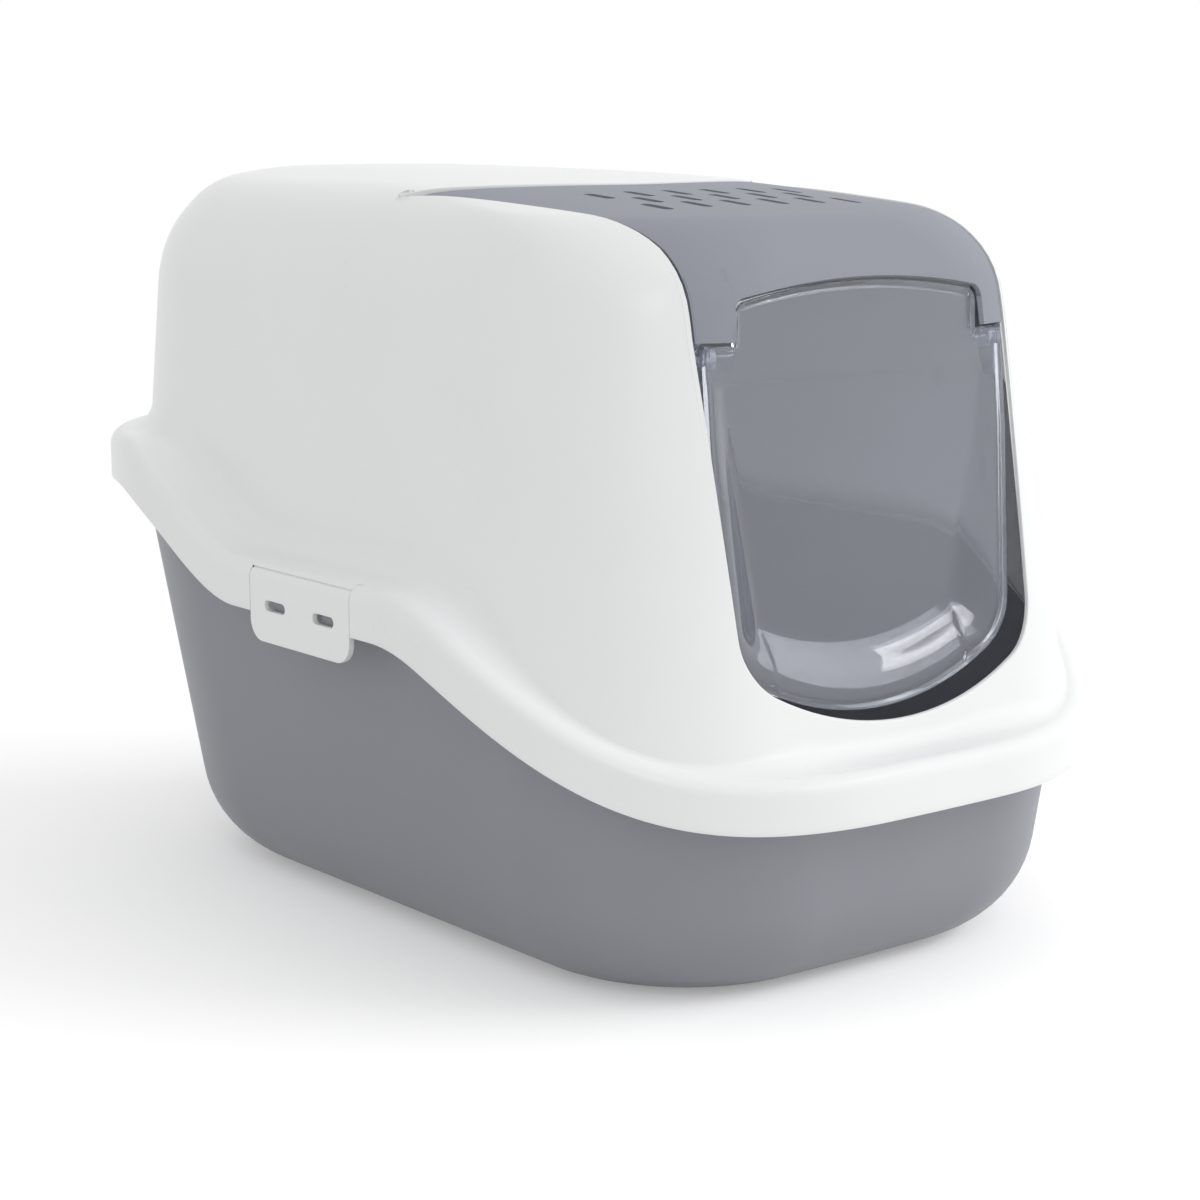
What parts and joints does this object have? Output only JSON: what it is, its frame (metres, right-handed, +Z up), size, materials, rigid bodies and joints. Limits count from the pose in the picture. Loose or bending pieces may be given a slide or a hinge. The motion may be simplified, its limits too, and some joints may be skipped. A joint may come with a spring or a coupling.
{
  "type": "cat litter box with hood",
  "caption": "Hooded cat litter box: open tray, clip-on hood with a lifting visor over a carbon filter, and a clear swing door at the entrance.",
  "frame": {"origin": "middle of the box's footprint, on the floor that the tray stands on", "axes": "+X to the right seen from the entrance, +Y from the entrance to the back along the length, +Z up"},
  "size_m": [0.39, 0.5599, 0.3845],
  "materials": {
    "grey_plastic": "satin moulded plastic",
    "white_plastic": "satin moulded plastic",
    "light_grey_plastic": "satin moulded plastic",
    "clear_plastic": "clear glossy plastic",
    "carbon_fleece": "matte fleece"
  },
  "bodies": {
    "tray": {"tray": "grey_plastic"},
    "hood": {"hood": "white_plastic"},
    "visor": {"visor": "light_grey_plastic"},
    "swing_door": {"swing_door": "clear_plastic"},
    "filter_cassette": {"filter_frame": "light_grey_plastic", "carbon_filter": "carbon_fleece"},
    "left_clip": {"left_clip": "white_plastic"},
    "right_clip": {"right_clip": "white_plastic"}
  },
  "joints": [
    {"name": "hood_lift", "type": "slide", "parent": "tray", "child": "hood", "axis": [0, 0, 1], "range_m": [0, 0.25]},
    {"name": "visor_open", "type": "hinge", "parent": "hood", "child": "visor", "pos_m": [0, -0.019, 0.37015], "axis": [-1, 0, 0], "range_deg": [0, 60]},
    {"name": "door_swing", "type": "hinge", "parent": "visor", "child": "swing_door", "pos_m": [0, -0.2085, 0.305], "axis": [1, 0, 0], "range_deg": [-65, 65]},
    {"name": "filter_frame_open", "type": "hinge", "parent": "visor", "child": "filter_cassette", "pos_m": [0, -0.0596, 0.3667], "axis": [1, 0, 0], "range_deg": [0, 35]},
    {"name": "left_clip_open", "type": "hinge", "parent": "hood", "child": "left_clip", "pos_m": [-0.191, -0.022, 0.1839], "axis": [0, 1, 0], "range_deg": [0, 95]},
    {"name": "right_clip_open", "type": "hinge", "parent": "hood", "child": "right_clip", "pos_m": [0.191, -0.022, 0.1839], "axis": [0, -1, 0], "range_deg": [0, 95]}
  ]
}
